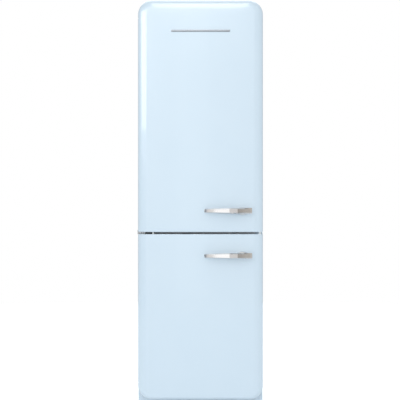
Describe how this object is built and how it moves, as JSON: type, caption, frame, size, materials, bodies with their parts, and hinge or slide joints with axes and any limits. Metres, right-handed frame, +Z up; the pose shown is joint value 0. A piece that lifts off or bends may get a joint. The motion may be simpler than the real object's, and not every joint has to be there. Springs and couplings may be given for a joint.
{
  "type": "refrigerator-freezer",
  "caption": "Tall two-door refrigerator-freezer with rounded retro doors, chromed lever handles, glass shelves and sliding drawers.",
  "frame": {"origin": "on the floor, below the middle of the body", "axes": "+Z up, the doors face -Y, +X to the right when seen from the front"},
  "size_m": [0.6055, 0.7238, 1.968],
  "materials": {
    "enamel": "gloss",
    "foam": "matte",
    "liner": "satin",
    "white": "satin",
    "clear": "clear gloss",
    "glass": "clear",
    "chrome": "polished",
    "steel": "satin",
    "zinc": "galvanised",
    "aluminium": "satin",
    "button": "satin",
    "black_metal": "satin",
    "black": "satin",
    "seal": "matte"
  },
  "bodies": {
    "cabinet": {"outer_casing": "enamel", "foam_body": "foam", "fridge_liner": "liner", "freezer_liner": "liner", "cross_rail": "enamel", "rear_panel": "zinc", "base_pan": "zinc", "compressor": "black_metal", "relay_box": "black", "drip_tray": "black", "condenser_tube": "black_metal", "evaporator": "aluminium", "freezer_duct_cover": "liner", "fan_motor": "black", "fridge_duct": "liner", "mains_inlet": "black", "shelf_glass_1": "glass", "shelf_glass_2": "glass", "shelf_trim_1": "chrome", "shelf_trim_2": "chrome", "crisper_cover": "glass", "bottle_rack": "chrome", "freezer_shelf_1": "glass", "freezer_shelf_2": "glass", "control_panel": "white", "lamp_cover": "clear", "top_hinge": "steel", "middle_hinge": "steel", "middle_hinge_cover": "black", "bottom_hinge": "steel"},
    "upper_door": {"upper_door_skin": "enamel", "upper_door_foam": "foam", "upper_door_liner": "liner", "upper_door_gasket": "seal", "upper_handle_base": "chrome", "upper_handle_lever": "chrome", "door_bin_top": "clear", "door_bin_middle": "clear", "door_bin_bottle": "clear", "badge": "chrome"},
    "lower_door": {"lower_door_skin": "enamel", "lower_door_foam": "foam", "lower_door_liner": "liner", "lower_door_gasket": "seal", "lower_handle_base": "chrome", "lower_handle_lever": "chrome"},
    "dairy_lid": {"dairy_lid": "clear"},
    "crisper_drawer": {"crisper_drawer": "clear"},
    "chill_drawer": {"chill_drawer": "clear"},
    "freezer_drawer_1": {"freezer_drawer_1": "clear"},
    "freezer_drawer_2": {"freezer_drawer_2": "clear"},
    "freezer_drawer_3": {"freezer_drawer_3": "clear"},
    "fan_rotor": {"fan_rotor": "black"},
    "power_button": {"power_button": "button"},
    "temp_button": {"temp_button": "button"},
    "door_switch": {"door_switch": "white"},
    "front_foot_left": {"front_foot_left": "black"},
    "front_foot_right": {"front_foot_right": "black"},
    "rear_roller_left": {"rear_roller_left": "black"},
    "rear_roller_right": {"rear_roller_right": "black"}
  },
  "joints": [
    {"name": "upper_door_hinge", "type": "hinge", "parent": "cabinet", "child": "upper_door", "pos_m": [-0.287, -0.266, 0.8466], "axis": [0, 0, -1], "range_deg": [0, 120]},
    {"name": "lower_door_hinge", "type": "hinge", "parent": "cabinet", "child": "lower_door", "pos_m": [-0.287, -0.266, 0.8466], "axis": [0, 0, -1], "range_deg": [0, 120]},
    {"name": "dairy_lid_hinge", "type": "hinge", "parent": "upper_door", "child": "dairy_lid", "pos_m": [0, -0.22, 1.8], "axis": [1, 0, 0], "range_deg": [0, 75]},
    {"name": "crisper_slide", "type": "slide", "parent": "cabinet", "child": "crisper_drawer", "axis": [0, -1, 0], "range_m": [0, 0.252]},
    {"name": "chill_slide", "type": "slide", "parent": "cabinet", "child": "chill_drawer", "axis": [0, -1, 0], "range_m": [0, 0.252]},
    {"name": "freezer_slide_1", "type": "slide", "parent": "cabinet", "child": "freezer_drawer_1", "axis": [0, -1, 0], "range_m": [0, 0.21]},
    {"name": "freezer_slide_2", "type": "slide", "parent": "cabinet", "child": "freezer_drawer_2", "axis": [0, -1, 0], "range_m": [0, 0.21]},
    {"name": "freezer_slide_3", "type": "slide", "parent": "cabinet", "child": "freezer_drawer_3", "axis": [0, -1, 0], "range_m": [0, 0.158]},
    {"name": "fan_spin", "type": "hinge", "parent": "cabinet", "child": "fan_rotor", "pos_m": [0, 0.2365, 0.68], "axis": [0, 1, 0], "continuous": true},
    {"name": "power_button_press", "type": "slide", "parent": "cabinet", "child": "power_button", "axis": [0, 1, 0], "range_m": [0, 0.0012], "stiffness_N_per_m": 300},
    {"name": "temp_button_press", "type": "slide", "parent": "cabinet", "child": "temp_button", "axis": [0, 1, 0], "range_m": [0, 0.0012], "stiffness_N_per_m": 300},
    {"name": "door_switch_plunge", "type": "slide", "parent": "cabinet", "child": "door_switch", "axis": [0, -1, 0], "range_m": [0, 0.0063]},
    {"name": "foot_left_turn", "type": "hinge", "parent": "cabinet", "child": "front_foot_left", "pos_m": [-0.255, -0.18, 0], "axis": [0, 0, 1], "continuous": true},
    {"name": "foot_right_turn", "type": "hinge", "parent": "cabinet", "child": "front_foot_right", "pos_m": [0.255, -0.18, 0], "axis": [0, 0, 1], "continuous": true},
    {"name": "roller_left_spin", "type": "hinge", "parent": "cabinet", "child": "rear_roller_left", "pos_m": [-0.235, 0.27, 0.0105], "axis": [1, 0, 0], "continuous": true},
    {"name": "roller_right_spin", "type": "hinge", "parent": "cabinet", "child": "rear_roller_right", "pos_m": [0.235, 0.27, 0.0105], "axis": [1, 0, 0], "continuous": true}
  ],
  "couplings": [
    {"joint": "crisper_slide", "follows": "upper_door_hinge", "m_per_rad": 0.12},
    {"joint": "chill_slide", "follows": "upper_door_hinge", "m_per_rad": 0.12},
    {"joint": "door_switch_plunge", "follows": "upper_door_hinge", "m_per_rad": 0.003},
    {"joint": "freezer_slide_1", "follows": "lower_door_hinge", "m_per_rad": 0.1},
    {"joint": "freezer_slide_2", "follows": "lower_door_hinge", "m_per_rad": 0.1},
    {"joint": "freezer_slide_3", "follows": "lower_door_hinge", "m_per_rad": 0.075}
  ]
}
